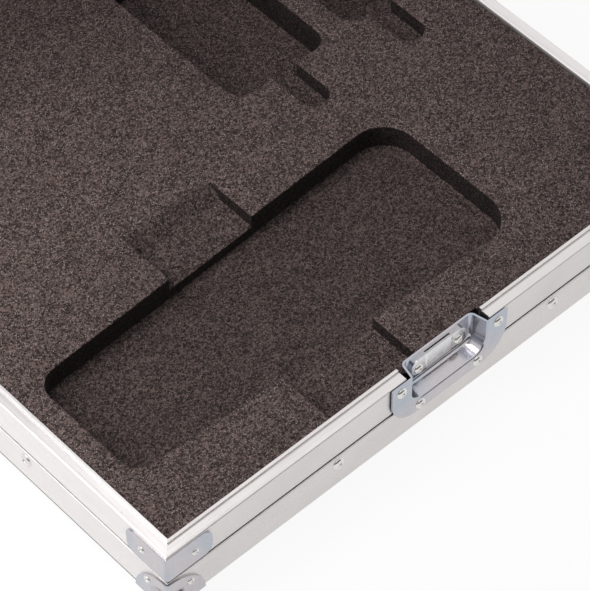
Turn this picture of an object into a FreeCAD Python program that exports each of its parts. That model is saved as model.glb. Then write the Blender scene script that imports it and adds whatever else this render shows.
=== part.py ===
import FreeCAD, Part
import math
import os

Vec = FreeCAD.Vector

# Pedal case with a foam tray. +Z is up and the front, with the latch, faces -Y.
# Everything is drawn about the centre of the base panel's underside, with the lid
# closed. Then the lid is opened and the whole moved, so that the origin is the
# bottom centre of its box.

# overall sizes
foam_length = 428.0
foam_width = 396.0
base_height = 52.5
lid_height = 90.0
lid_open_angle = 90.0
overrun = 5.0
point_gap = 0.001

# panels
panel_wall = 6.8
panel_fit = 0.1

# closure rim, a closed section that holds the panels' edges
rim_wall = 1.25
rim_face = 23.6
rim_inner_wall_height = 14.0
rim_web = 1.6
lid_rim_web = 2.8
tongue_width = 2.4
tongue_height = 1.2
tongue_clearance = 0.5
tongue_headroom = 0.3
tongue_round = 0.4
gutter_width = 0.8
gutter_depth = 0.5
shoulder_round = 1.2
rim_edge_round = 0.3
closing_gap = 0.3

# edge angles round the bottom and the top
angle_wall = 2.0
angle_outer_round = 1.5
angle_edge_round = 0.6
seam_gap = 1.15

# ball corners and rim braces
corner_wall = 1.3
corner_edge_round = 1.0
ball_radius = 12.5
ball_inset = 7.0
brace_leg = 34.0
brace_wall = 1.2
brace_inset = 1.6
brace_round = 6.0
brace_bend_round = 2.4

# feet
foot_radius = 11.0
foot_tip_radius = 9.6
foot_edge = 1.2
foot_height = 10.0
foot_margin = 4.0
foot_recess_radius = 4.6
foot_recess_depth = 4.5
foot_hole_radius = 2.2
foot_screw_head_radius = 4.0
foot_screw_head_height = 2.2
foot_screw_radius = 2.1

# foam tray
foam_fit = 0.5
foam_drop = 0.6
pocket_length = 298.8
pocket_left = 16.5
pocket_middle = 92.4
pocket_left_width = 91.0
pocket_right_width = 119.6
pocket_left_round = 15.0
pocket_right_round = 23.5
pocket_depth = 18.0
scoop_left = 126.8
scoop_width = 70.0
scoop_back = 187.0
scoop_depth = 10.0
scoop_ramp = 11.0
small_pocket_front = 223.0
small_pocket_length = 134.0
small_pocket_depth = 24.0
small_pocket_round = 12.0
pedal_pocket_left = 255.0
pedal_pocket_width = 78.0
supply_pocket_left = 352.0
supply_pocket_width = 52.0
finger_slot_width = 20.0
finger_slot_reach = 38.0
finger_slot_depth = 12.0
lid_foam_thickness = 12.0

# rivets
rivet_head_radius = 4.75
rivet_head_height = 1.6
rivet_crown_radius = 2.6
rivet_spacing = 180.0
side_rivet_spacing = 162.0
rivet_edge_distance = 7.5
small_rivet_head_radius = 4.0

# latch dishes, pressed from sheet
dish_wall = 1.2
dish_depth = 12.0
dish_flange_width = 95.5
dish_flange_round = 22.0
dish_mouth_width = 62.0
dish_back_width = 56.0
dish_mouth_round = 10.0
dish_back_round = 8.0
dish_floor_round = 3.0
dish_lip_round = 1.8
dish_outer_rivet_spacing = 80.5
dish_outer_rivet_drop = 6.8
dish_inner_rivet_spacing = 48.0
dish_inner_rivet_drop = 31.0
keeper_dish_height = 36.5
keeper_dish_mouth_drop = 26.0
keeper_dish_back_drop = 24.0
lid_dish_height = 52.0
lid_dish_mouth_drop = 40.0
lid_dish_back_drop = 38.5
lid_dish_rivet_drop = 45.0
latch_notch_width = 69.0
latch_notch_margin = 2.3

# keeper plate in the base dish
keeper_wall = 2.0
keeper_lift = 0.5
keeper_bridge_width = 19.8
keeper_joggle = 1.2
keeper_ear_width = 11.0
keeper_top_drop = 4.0
keeper_bottom_drop = 17.5
keeper_rivet_drop = 13.3
keeper_round = 5.0

# hook, spindle and wings in the lid dish
spindle_rise = 14.0
hook_wall = 1.5
hook_tooth_wall = 1.6
hook_tooth_gap = 0.3
hook_stroke_down = 4.0
hook_stroke_out = 2.8
hook_width = 16.0
hook_yoke_width = 26.0
hook_yoke_height = 24.0
hook_yoke_round = 6.0
hook_slot_play = 0.6
eccentric_radius = 6.0
eccentric_offset = 2.0
spindle_boss_radius = 7.5
spindle_journal_radius = 3.0
journal_fit = 0.05
wing_front_gap = 0.6
wing_wall = 1.6
wing_span = 44.0
wing_lobe_height = 19.0
wing_waist_height = 9.0
wing_lobe_round = 6.5
wing_pin_radius = 0.55
wing_pin_fit = 0.05
wing_pin_offset = 5.2
wing_clearance = 0.3
washer_radius = 6.0
washer_wall = 1.2

# stop hinges
hinge_spacing = 240.0
hinge_width = 56.0
hinge_leaf_height = 24.0
hinge_wall = 2.0
hinge_knuckle_radius = 4.6
hinge_pin_radius = 2.5
hinge_pin_fit = 0.05
hinge_mid_width = 20.0
hinge_side_gap = 0.3
hinge_relief = 0.6
hinge_leaf_round = 6.0
hinge_stop_reach = 14.0
hinge_stop_gap = 0.3
hinge_rivet_spacing = 36.0
hinge_rivet_drop = 15.0
hinge_pin_head = 1.0

# carrying handle on the lid's right side
handle_plate_margin = 1.4
handle_plate_wall = 1.6
handle_plate_round = 9.0
handle_ear_spacing = 84.0
handle_ear_width = 9.0
handle_ear_radius = 5.6
handle_wire_radius = 3.0
handle_wire_fit = 0.08
handle_wire_bend = 6.0
handle_arm_gap = 0.3
handle_ear_margin = 1.4
handle_rivet_gap = 0.5
handle_grip_end_gap = 0.5
handle_grip_radius = 5.0
handle_wire_end = 1.6

# derived places
half_length = foam_length / 2
half_width = foam_width / 2
rim_width = panel_wall + 2 * panel_fit + 2 * rim_wall
panel_inner = rim_wall + panel_fit
panel_outer = panel_inner + panel_wall
angle_inner = panel_outer + panel_fit
angle_outer = angle_inner + angle_wall
angle_leg = base_height - rim_face - seam_gap
rim_top = base_height - angle_wall
lid_rim_top = lid_height - angle_wall
angle_top = angle_leg - angle_wall
corner_leg = angle_leg
closing_height = rim_top + closing_gap
flange_outer = angle_outer + dish_wall
latch_front = -(half_width + flange_outer)
hinge_axis_y = half_width + rim_width + hinge_knuckle_radius
hinge_axis_z = rim_top + closing_gap / 2
handle_band = lid_height - rim_face - angle_leg
handle_rise = handle_band / 2 - handle_plate_margin
handle_axis_rise = handle_rise - handle_ear_radius - handle_ear_margin
handle_low = handle_grip_radius - handle_rise
handle_rivet_out = (handle_ear_spacing + handle_ear_width) / 2 + handle_rivet_gap + small_rivet_head_radius
handle_plate_length = 2 * (handle_rivet_out + handle_plate_round)


def box(x_range, y_range, z_range):
    size = [pair[1] - pair[0] for pair in (x_range, y_range, z_range)]
    return Part.makeBox(size[0], size[1], size[2], Vec(x_range[0], y_range[0], z_range[0]))


def rounded_wire(points):
    # a closed outline in the XY plane; each point is (x, y) or (x, y, corner radius)
    count = len(points)
    starts = []
    ends = []
    middles = []
    for i in range(count):
        here = Vec(points[i][0], points[i][1], 0)
        radius = points[i][2] if len(points[i]) > 2 else 0
        before = Vec(points[i - 1][0], points[i - 1][1], 0) - here
        after = Vec(points[(i + 1) % count][0], points[(i + 1) % count][1], 0) - here
        before.normalize()
        after.normalize()
        if radius <= 0:
            starts.append(here)
            ends.append(here)
            middles.append(None)
            continue
        half_angle = before.getAngle(after) / 2
        reach = radius / math.tan(half_angle)
        inward = before + after
        inward.normalize()
        to_centre = radius / math.sin(half_angle)
        starts.append(here + before * reach)
        ends.append(here + after * reach)
        middles.append(here + inward * (to_centre - radius))
    edges = []
    for i in range(count):
        if middles[i] is not None:
            edges.append(Part.Arc(starts[i], middles[i], ends[i]).toShape())
        step = starts[(i + 1) % count] - ends[i]
        if step.Length > point_gap:
            edges.append(Part.LineSegment(ends[i], starts[(i + 1) % count]).toShape())
    return Part.Wire(edges)


def plate(points, bottom, top):
    # an outline in the XY plane, raised from one height to another
    face = Part.Face(rounded_wire(points))
    face.translate(Vec(0, 0, bottom))
    return face.extrude(Vec(0, 0, top - bottom))


def rounded_rectangle(x_range, y_range, radius):
    return [
        (x_range[0], y_range[0], radius),
        (x_range[1], y_range[0], radius),
        (x_range[1], y_range[1], radius),
        (x_range[0], y_range[1], radius),
    ]


def bar_along_x(section, x_range):
    # section points are (y, z) or (y, z, corner radius)
    face = Part.Face(rounded_wire(section))
    face.rotate(Vec(0, 0, 0), Vec(1, 1, 1), 120)
    face.translate(Vec(x_range[0], 0, 0))
    return face.extrude(Vec(x_range[1] - x_range[0], 0, 0))


def upright_plate(points, y_range):
    # an outline in (x, z), thick along Y
    face = Part.Face(rounded_wire(points))
    face.rotate(Vec(0, 0, 0), Vec(1, 0, 0), 90)
    face.translate(Vec(0, y_range[0], 0))
    return face.extrude(Vec(0, y_range[1] - y_range[0], 0))


def cylinder(start, direction, radius, length):
    return Part.makeCylinder(radius, length, start, direction)


def side_length(side):
    return half_length if side % 2 == 0 else half_width


def side_distance(side):
    return half_width if side % 2 == 0 else half_length


def on_side(shape, side):
    # the front is side 0; the others follow anticlockwise seen from above
    placed = shape.copy()
    placed.translate(Vec(0, -side_distance(side), 0))
    placed.rotate(Vec(0, 0, 0), Vec(0, 0, 1), 90 * side)
    return placed


def mitred_bar(section, side):
    # y = 0 is the foam's edge and outward is -y; both ends are cut at 45 degrees
    reach = side_length(side)
    out = angle_outer + overrun
    inside = angle_leg + overrun
    bar = bar_along_x(section, (-reach - out, reach + out))
    plan = [(-reach - out, -out), (reach + out, -out), (reach - inside, inside), (inside - reach, inside)]
    return on_side(bar.common(plate(plan, -lid_height, 2 * lid_height)), side)


def base_rim_section(top):
    return [
        (0, top - rim_inner_wall_height),
        (-rim_wall, top - rim_inner_wall_height),
        (-rim_wall, top - rim_web),
        (rim_wall - rim_width, top - rim_web),
        (rim_wall - rim_width, top - rim_face),
        (-rim_width, top - rim_face, rim_edge_round),
        (-rim_width, top, shoulder_round),
        (-tongue_width - gutter_width, top),
        (-tongue_width - gutter_width, top - gutter_depth),
        (-tongue_width, top - gutter_depth),
        (-tongue_width, top + tongue_height, tongue_round),
        (0, top + tongue_height, tongue_round),
    ]


def lid_rim_section(top):
    recess = tongue_height + tongue_headroom
    return [
        (0, top - rim_inner_wall_height),
        (-rim_wall, top - rim_inner_wall_height),
        (-rim_wall, top - lid_rim_web),
        (rim_wall - rim_width, top - lid_rim_web),
        (rim_wall - rim_width, top - rim_face),
        (-rim_width, top - rim_face, rim_edge_round),
        (-rim_width, top, shoulder_round),
        (-tongue_width - tongue_clearance, top, rim_edge_round),
        (-tongue_width - tongue_clearance, top - recess),
        (0, top - recess),
    ]


def angle_section():
    return [
        (-angle_outer, -angle_wall, angle_outer_round),
        (angle_leg - angle_outer, -angle_wall, angle_edge_round),
        (angle_leg - angle_outer, 0),
        (-angle_inner, 0),
        (-angle_inner, angle_top),
        (-angle_outer, angle_top, angle_edge_round),
    ]


def latch_notch(top, drop):
    # the gap cut through rim, panel and angle at the middle of the front
    half = latch_notch_width / 2
    y_range = (-half_width - angle_outer - overrun, -half_width + overrun)
    return box((-half, half), y_range, (top - drop - latch_notch_margin, top + overrun))


def quarter_disc():
    # one leg of the corner, a quarter disc that laps over the corner point by the sheet's wall
    over = corner_wall
    reach = math.sqrt(corner_leg**2 - over**2)
    bend = Vec(-corner_leg * math.sqrt(0.5), -corner_leg * math.sqrt(0.5), 0)
    edges = [
        Part.LineSegment(Vec(over, over, 0), Vec(-reach, over, 0)).toShape(),
        Part.Arc(Vec(-reach, over, 0), bend, Vec(over, -reach, 0)).toShape(),
        Part.LineSegment(Vec(over, -reach, 0), Vec(over, over, 0)).toShape(),
    ]
    return Part.Face(Part.Wire(edges)).extrude(Vec(0, 0, -corner_wall))


def ball_corner():
    # the corner point of the case is at the origin and the case lies in x < 0, y < 0, z > 0
    flat = quarter_disc()
    side_x = flat.copy()
    side_x.rotate(Vec(0, 0, 0), Vec(0, 1, 0), 90)
    side_x = side_x.mirror(Vec(0, 0, 0), Vec(1, 0, 0))
    side_y = flat.copy()
    side_y.rotate(Vec(0, 0, 0), Vec(1, 0, 0), -90)
    side_y = side_y.mirror(Vec(0, 0, 0), Vec(0, 1, 0))
    shell = flat.fuse(side_x).fuse(side_y).removeSplitter()
    outer_edges = []
    for edge in shell.Edges:
        middle = edge.CenterOfMass
        touching = [
            abs(middle.x - corner_wall) < point_gap,
            abs(middle.y - corner_wall) < point_gap,
            abs(middle.z + corner_wall) < point_gap,
        ]
        if sum(touching) == 2 and edge.Length > corner_leg / 2:
            outer_edges.append(edge)
    shell = shell.makeFillet(corner_edge_round + corner_wall, outer_edges)
    ball = Part.makeSphere(ball_radius, Vec(-ball_inset, -ball_inset, ball_inset))
    inside = box((-2 * corner_leg, 0), (-2 * corner_leg, 0), (0, 2 * corner_leg))
    return shell.fuse(ball).cut(inside).removeSplitter()


def at_corners(shape, x, y):
    # four copies, turned and mirrored so that each wraps its own corner
    copies = []
    for sign_x in (1, -1):
        for sign_y in (1, -1):
            copy = shape.copy()
            if sign_x < 0:
                copy = copy.mirror(Vec(0, 0, 0), Vec(1, 0, 0))
            if sign_y < 0:
                copy = copy.mirror(Vec(0, 0, 0), Vec(0, 1, 0))
            copy.translate(Vec(sign_x * x, sign_y * y, 0))
            copies.append(copy)
    return Part.makeCompound(copies)


def rim_brace(top):
    # a bent plate round the mitre of two rim bars; the corner of the rim is at the origin
    bottom = top - rim_face + brace_inset
    upper = top - brace_inset
    leg = upright_plate(
        [
            (-brace_leg, bottom, brace_round),
            (brace_wall, bottom),
            (brace_wall, upper),
            (-brace_leg, upper, brace_round),
        ],
        (0, brace_wall),
    )
    other = leg.copy()
    other.rotate(Vec(0, 0, 0), Vec(0, 0, 1), -90)
    other = other.mirror(Vec(0, 0, 0), Vec(0, 1, 0))
    brace = leg.fuse(other)
    bend = brace_wall + brace_bend_round
    corner = plate([(-bend, -bend), (brace_wall, -bend), (brace_wall, brace_wall), (-bend, brace_wall)], bottom, upper)
    round_corner = plate(
        [(-bend, -bend), (brace_wall, -bend), (brace_wall, brace_wall, brace_bend_round), (-bend, brace_wall)],
        bottom,
        upper,
    )
    return brace.cut(corner.cut(round_corner)).removeSplitter()


def corner_angle(bottom, top):
    # upright angle over the lid's vertical edges, the corner point at the origin
    outline = [
        (0, 0, angle_outer_round),
        (0, -angle_leg, angle_edge_round),
        (-angle_wall, -angle_leg),
        (-angle_wall, -angle_wall),
        (-angle_leg, -angle_wall),
        (-angle_leg, 0, angle_edge_round),
    ]
    return plate(outline, bottom, top)


def rivet(place, direction, radius=rivet_head_radius):
    crown = rivet_crown_radius * radius / rivet_head_radius
    return Part.makeCone(radius, crown, rivet_head_height, place, direction)


def side_rivets(height):
    # two on each side, through the upright leg of the edge angles
    heads = []
    for side in range(4):
        for sign in (-1, 1):
            spacing = rivet_spacing if side % 2 == 0 else side_rivet_spacing
            head = rivet(Vec(sign * spacing / 2, -angle_outer, height), Vec(0, -1, 0))
            heads.append(on_side(head, side))
    return heads


def half_case(prefix, height, rim_section, notch_drop):
    # one half with its outer panel at z = 0 and its rim upward
    nodes = {}
    outer = "bottom_panel" if prefix == "base" else "top_panel"
    top = height - angle_wall
    notch = latch_notch(top, notch_drop)
    web = rim_web if prefix == "base" else lid_rim_web
    nodes[prefix + "_" + outer] = box(
        (-half_length - panel_outer, half_length + panel_outer),
        (-half_width - panel_outer, half_width + panel_outer),
        (0, panel_wall),
    )
    names = ["front", "right", "back", "left"]
    for side in range(4):
        reach = side_length(side) + (panel_outer if side % 2 == 0 else panel_inner)
        panel = box((-reach, reach), (-panel_outer, -panel_inner), (panel_wall, top - web - panel_fit))
        panel = on_side(panel, side)
        rim = mitred_bar(rim_section(top), side)
        angle = mitred_bar(angle_section(), side)
        if side == 0:
            panel = panel.cut(notch)
            rim = rim.cut(notch)
            angle = angle.cut(notch)
        nodes[prefix + "_" + names[side] + "_panel"] = panel
        nodes[prefix + "_" + names[side] + "_rim"] = rim
        nodes[prefix + "_" + names[side] + "_angle"] = angle
    corner = ball_corner()
    corner.translate(Vec(0, 0, -angle_wall))
    nodes[prefix + "_ball_corners"] = at_corners(corner, half_length + angle_outer, half_width + angle_outer)
    nodes[prefix + "_rim_braces"] = at_corners(rim_brace(top), half_length + rim_width, half_width + rim_width)
    nodes[prefix + "_angle_rivets"] = Part.makeCompound(side_rivets(angle_top - rivet_edge_distance))
    return nodes


def tray_foam():
    left = -half_length
    front = -half_width
    top = rim_top - foam_drop
    foam = box(
        (foam_fit - half_length, half_length - foam_fit),
        (foam_fit - half_width, half_width - foam_fit),
        (panel_wall, top),
    )

    def pocket(x0, width, y0, length, depth, radius):
        outline = rounded_rectangle((left + x0, left + x0 + width), (front + y0, front + y0 + length), radius)
        return plate(outline, top - depth, top + overrun)

    # the main pocket widens to the right, evenly about its middle line
    outline = []
    for x, width, radius, signs in (
        (pocket_left, pocket_left_width, pocket_left_round, (1, -1)),
        (pocket_left + pocket_length, pocket_right_width, pocket_right_round, (-1, 1)),
    ):
        for sign in signs:
            outline.append((left + x, front + pocket_middle + sign * width / 2, radius))
    foam = foam.cut(plate(outline, top - pocket_depth, top + overrun))
    for x0, width in ((pedal_pocket_left, pedal_pocket_width), (supply_pocket_left, supply_pocket_width)):
        foam = foam.cut(
            pocket(x0, width, small_pocket_front, small_pocket_length, small_pocket_depth, small_pocket_round)
        )
        slot_left = x0 + (width - finger_slot_width) / 2
        slot_front = small_pocket_front - finger_slot_reach
        slot_length = finger_slot_reach + small_pocket_round
        slot_round = finger_slot_width / 2 - panel_fit
        foam = foam.cut(
            pocket(slot_left, finger_slot_width, slot_front, slot_length, finger_slot_depth, slot_round)
        )
    # the cross scoop runs out through the front edge and slopes up at its far end
    floor = top - scoop_depth
    far = front + scoop_back
    scoop = bar_along_x(
        [
            (front - overrun, floor),
            (far - scoop_ramp, floor),
            (far, top),
            (far, top + overrun),
            (front - overrun, top + overrun),
        ],
        (left + scoop_left, left + scoop_left + scoop_width),
    )
    # and the front edge is trimmed to clear the latch dish
    dish_back = front - flange_outer + dish_depth + dish_wall + foam_fit
    dish_bottom = rim_top - keeper_dish_mouth_drop - latch_notch_margin
    half = latch_notch_width / 2
    trim = box((-half, half), (front - overrun, dish_back), (dish_bottom, top + overrun))
    return foam.cut(scoop).cut(trim)


def dish_outline(half, drop, radius, depth, above):
    # a U in (x, z) at one depth behind the flange; z = 0 is the edge where the halves meet
    wire = rounded_wire([(-half, -drop, radius), (half, -drop, radius), (half, above), (-half, above)])
    wire.rotate(Vec(0, 0, 0), Vec(1, 0, 0), 90)
    wire.translate(Vec(0, depth, 0))
    return wire


def latch_dish(height, mouth_drop, back_drop):
    # front of the flange at y = 0, recess toward +y, meeting edge at z = 0
    half_flange = dish_flange_width / 2
    flange = upright_plate(
        [
            (-half_flange, -height, dish_flange_round),
            (half_flange, -height, dish_flange_round),
            (half_flange, overrun),
            (-half_flange, overrun),
        ],
        (0, dish_wall),
    )
    mouth = dish_outline(dish_mouth_width / 2, mouth_drop, dish_mouth_round, 0, 2 * overrun)
    back = dish_outline(dish_back_width / 2, back_drop, dish_back_round, dish_depth, 2 * overrun)
    hollow = Part.makeLoft([mouth, back], True, True)
    outer_mouth = dish_outline(
        dish_mouth_width / 2 + dish_wall, mouth_drop + dish_wall, dish_mouth_round + dish_wall, 0, 2 * overrun
    )
    outer_back = dish_outline(
        dish_back_width / 2 + dish_wall,
        back_drop + dish_wall,
        dish_back_round + dish_wall,
        dish_depth + dish_wall,
        2 * overrun,
    )
    skin = Part.makeLoft([outer_mouth, outer_back], True, True)
    hollow = round_far_edges(hollow, dish_depth, dish_floor_round)
    skin = round_far_edges(skin, dish_depth + dish_wall, dish_floor_round + dish_wall)
    dish = flange.fuse(skin).cut(hollow)
    dish = dish.cut(
        box((-dish_flange_width, dish_flange_width), (-overrun, dish_depth + 2 * overrun), (0, 4 * overrun))
    )
    lip = []
    for edge in dish.Edges:
        bounds = edge.BoundBox
        if bounds.YMax < dish_wall / 10 and bounds.XMax < half_flange - overrun and bounds.XMin > overrun - half_flange:
            if bounds.ZMin > -height + overrun / 2 and bounds.ZLength + bounds.XLength > 0:
                if bounds.ZMax < -dish_wall / 10 or bounds.ZLength > dish_wall:
                    lip.append(edge)
    return dish.makeFillet(dish_lip_round, lip).removeSplitter()


def round_far_edges(solid, depth, radius):
    # rounds the edges round the recess's back wall, apart from the one along its open top
    chosen = []
    for edge in solid.Edges:
        bounds = edge.BoundBox
        flat = abs(bounds.YMin - depth) < radius / 100 and abs(bounds.YMax - depth) < radius / 100
        if flat and bounds.ZMin < overrun:
            chosen.append(edge)
    return solid.makeFillet(radius, chosen)


def keeper_plate():
    # a bridge between two ears on the back wall, in the dish's own frame
    wall = dish_depth
    inner = keeper_bridge_width / 2
    outer = inner + keeper_joggle
    end = outer + keeper_ear_width
    lift = keeper_lift + keeper_wall
    band = [
        (-end, wall),
        (-end, wall - keeper_wall),
        (-outer, wall - keeper_wall),
        (-inner, wall - lift),
        (inner, wall - lift),
        (outer, wall - keeper_wall),
        (end, wall - keeper_wall),
        (end, wall),
        (outer, wall),
        (inner, wall - keeper_lift),
        (-inner, wall - keeper_lift),
        (-outer, wall),
    ]
    bent = plate(band, -keeper_bottom_drop, -keeper_top_drop)
    outline = rounded_rectangle((-end, end), (-keeper_bottom_drop, -keeper_top_drop), keeper_round)
    return bent.common(upright_plate(outline, (0, wall + overrun)))


def keeper_rivets():
    # the flange's four and the keeper's two, in the dish's own frame
    heads = []
    for spacing, drop in (
        (dish_outer_rivet_spacing, dish_outer_rivet_drop),
        (dish_inner_rivet_spacing, dish_inner_rivet_drop),
    ):
        for sign in (-1, 1):
            heads.append(rivet(Vec(sign * spacing / 2, 0, -drop), Vec(0, -1, 0), small_rivet_head_radius))
    ear_middle = keeper_bridge_width / 2 + keeper_joggle + keeper_ear_width / 2
    for sign in (-1, 1):
        place = Vec(sign * ear_middle, dish_depth - keeper_wall, -keeper_rivet_drop)
        heads.append(rivet(place, Vec(0, -1, 0), small_rivet_head_radius))
    return Part.makeCompound(heads)


def lid_dish_rivets():
    heads = []
    for spacing, drop in (
        (dish_outer_rivet_spacing, dish_outer_rivet_drop),
        (dish_inner_rivet_spacing, lid_dish_rivet_drop),
    ):
        for sign in (-1, 1):
            heads.append(rivet(Vec(sign * spacing / 2, 0, -drop), Vec(0, -1, 0), small_rivet_head_radius))
    return Part.makeCompound(heads)


def latch_hook():
    # drawn released: the tooth hangs low and clear of the keeper. z is up from the meeting edge
    plate_back = dish_depth - keeper_lift - keeper_wall - hook_tooth_gap - hook_stroke_out
    plate_front = plate_back - hook_wall
    tooth_top = -keeper_bottom_drop - hook_tooth_gap - hook_stroke_down
    tooth_bottom = tooth_top - hook_tooth_wall
    tooth_back = plate_back + keeper_wall + keeper_lift - hook_tooth_gap
    half = hook_width / 2
    yoke = hook_yoke_width / 2
    low_centre = spindle_rise - eccentric_offset
    yoke_bottom = low_centre - hook_yoke_height / 2
    yoke_top = low_centre + hook_yoke_height / 2
    body = upright_plate(
        [
            (-half, tooth_bottom, hook_tooth_wall),
            (half, tooth_bottom, hook_tooth_wall),
            (half, yoke_bottom),
            (yoke, yoke_bottom, hook_yoke_round / 2),
            (yoke, yoke_top, hook_yoke_round),
            (-yoke, yoke_top, hook_yoke_round),
            (-yoke, yoke_bottom, hook_yoke_round / 2),
            (-half, yoke_bottom),
        ],
        (plate_front, plate_back),
    )
    tooth = box((-half + hook_tooth_wall, half - hook_tooth_wall), (plate_front, tooth_back), (tooth_bottom, tooth_top))
    slot_half = eccentric_radius + eccentric_offset + hook_slot_play
    slot_rise = eccentric_radius + hook_slot_play
    slot = upright_plate(
        [
            (-slot_half, low_centre - slot_rise, slot_rise - panel_fit),
            (slot_half, low_centre - slot_rise, slot_rise - panel_fit),
            (slot_half, low_centre + slot_rise, slot_rise - panel_fit),
            (-slot_half, low_centre + slot_rise, slot_rise - panel_fit),
        ],
        (plate_front - overrun, plate_back + overrun),
    )
    return body.fuse(tooth).cut(slot).removeSplitter()


def wing_pin_depth():
    return wing_front_gap + wing_wall / 2


def latch_spindle():
    # boss for the wings, eccentric for the hook and a journal through the dish's back wall
    back = Vec(0, 1, 0)
    boss_back = wing_front_gap + wing_wall + wing_clearance
    boss = cylinder(Vec(0, wing_front_gap, spindle_rise), back, spindle_boss_radius, boss_back - wing_front_gap)
    reach = wing_pin_offset - wing_wall / 2 - wing_clearance
    depth = (wing_front_gap - overrun, boss_back + overrun)
    for sign in (-1, 1):
        side_range = (reach, spindle_boss_radius + overrun) if sign > 0 else (-spindle_boss_radius - overrun, -reach)
        middle = (spindle_rise - wing_waist_height / 2 - wing_clearance, spindle_rise + wing_waist_height / 2 + wing_clearance)
        boss = boss.cut(box(side_range, (depth[0], boss_back - wing_clearance / 3), middle))
    drum_length = dish_depth - hook_tooth_gap - boss_back
    drum = cylinder(Vec(0, boss_back, spindle_rise - eccentric_offset), back, eccentric_radius, drum_length)
    journal_length = dish_depth + dish_wall + hook_tooth_gap + washer_wall - boss_back
    journal = cylinder(Vec(0, boss_back, spindle_rise), back, spindle_journal_radius, journal_length)
    spindle = boss.fuse(drum).fuse(journal)
    for sign in (-1, 1):
        pin_hole = cylinder(
            Vec(sign * wing_pin_offset, wing_pin_depth(), spindle_rise - spindle_boss_radius - overrun),
            Vec(0, 0, 1),
            wing_pin_radius,
            2 * spindle_boss_radius + 2 * overrun,
        )
        spindle = spindle.cut(pin_hole)
    return spindle.removeSplitter()


def wing_pins():
    pins = []
    half = math.sqrt(spindle_boss_radius**2 - (wing_pin_offset + wing_pin_radius) ** 2)
    for sign in (-1, 1):
        pins.append(
            cylinder(
                Vec(sign * wing_pin_offset, wing_pin_depth(), spindle_rise - half),
                Vec(0, 0, 1),
                wing_pin_radius,
                2 * half,
            )
        )
    return Part.makeCompound(pins)


def spindle_washer():
    place = Vec(0, dish_depth + dish_wall + hook_tooth_gap, spindle_rise)
    ring = cylinder(place, Vec(0, 1, 0), washer_radius, washer_wall)
    return ring.cut(cylinder(place, Vec(0, 1, 0), spindle_journal_radius, washer_wall))


def latch_wing(sign):
    # one lobe of the butterfly with its knuckle round the pin
    inner = wing_pin_offset
    tip = wing_span / 2
    waist = wing_waist_height / 2
    lobe = wing_lobe_height / 2
    flare = inner + spindle_boss_radius / 2
    depth = (wing_front_gap, wing_front_gap + wing_wall)
    outline = [
        (inner, spindle_rise - waist),
        (flare, spindle_rise - waist, wing_lobe_round / 2),
        (flare + waist, spindle_rise - lobe, wing_lobe_round / 2),
        (tip, spindle_rise - lobe, wing_lobe_round),
        (tip, spindle_rise + lobe, wing_lobe_round),
        (flare + waist, spindle_rise + lobe, wing_lobe_round / 2),
        (flare, spindle_rise + waist, wing_lobe_round / 2),
        (inner, spindle_rise + waist),
    ]
    lobe_plate = upright_plate(outline, depth)
    knuckle = cylinder(
        Vec(inner, wing_pin_depth(), spindle_rise - waist), Vec(0, 0, 1), wing_wall / 2, wing_waist_height
    )
    bore = cylinder(
        Vec(inner, wing_pin_depth(), spindle_rise - waist - overrun),
        Vec(0, 0, 1),
        wing_pin_radius + wing_pin_fit,
        wing_waist_height + 2 * overrun,
    )
    wing = lobe_plate.fuse(knuckle).cut(bore).removeSplitter()
    if sign < 0:
        wing = wing.mirror(Vec(0, 0, 0), Vec(1, 0, 0))
    return wing


def hinge_knuckles(x_ranges):
    rings = []
    for x_range in x_ranges:
        rings.append(cylinder(Vec(x_range[0], 0, 0), Vec(1, 0, 0), hinge_knuckle_radius, x_range[1] - x_range[0]))
    return rings


def hinge_leaf(sign, x_ranges, reliefs):
    # the pin's axis is the X axis; sign -1 is the base leaf, +1 the lid leaf
    half = hinge_width / 2
    near = -hinge_knuckle_radius
    outline = [(-half, 0), (half, 0), (half, sign * hinge_leaf_height, hinge_leaf_round)]
    outline.append((-half, sign * hinge_leaf_height, hinge_leaf_round))
    leaf = upright_plate(outline, (near, near + hinge_wall))
    for ring in hinge_knuckles(x_ranges):
        leaf = leaf.fuse(ring)
    gap = hinge_knuckle_radius + hinge_relief
    for x_range in reliefs:
        leaf = leaf.cut(box(x_range, (near - overrun, gap + overrun), (-gap, gap)))
    bore = cylinder(Vec(-half - overrun, 0, 0), Vec(1, 0, 0), hinge_pin_radius + hinge_pin_fit, hinge_width + 2 * overrun)
    return leaf.cut(bore)


def hinge_parts():
    half = hinge_width / 2
    mid = hinge_mid_width / 2
    gap = hinge_side_gap
    outer_ranges = [(-half, -mid), (mid, half)]
    base_leaf = hinge_leaf(-1, outer_ranges, [(-mid, mid)])
    lid_leaf = hinge_leaf(1, [(gap - mid, mid - gap)], [(-half - gap, gap - mid), (mid - gap, half + gap)])
    # the stop arm meets the base leaf when the lid stands open, so here it points back
    inner = hinge_pin_radius + hinge_pin_fit
    arm_bottom = hinge_stop_gap - (hinge_knuckle_radius - hinge_wall)
    arm = box(
        (gap - mid, mid - gap),
        (0, hinge_stop_reach),
        (arm_bottom, arm_bottom + hinge_wall),
    )
    arm = arm.cut(cylinder(Vec(-half, 0, 0), Vec(1, 0, 0), inner, hinge_width))
    lid_leaf = lid_leaf.fuse(arm).removeSplitter()
    pin = cylinder(Vec(-half - hinge_pin_head, 0, 0), Vec(1, 0, 0), hinge_pin_radius, hinge_width + 2 * hinge_pin_head)
    return base_leaf.removeSplitter(), lid_leaf, pin


def at_hinges(shape):
    copies = []
    for sign in (-1, 1):
        copy = shape.copy()
        copy.translate(Vec(sign * hinge_spacing / 2, hinge_axis_y, hinge_axis_z))
        copies.append(copy)
    return Part.makeCompound(copies)


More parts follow.
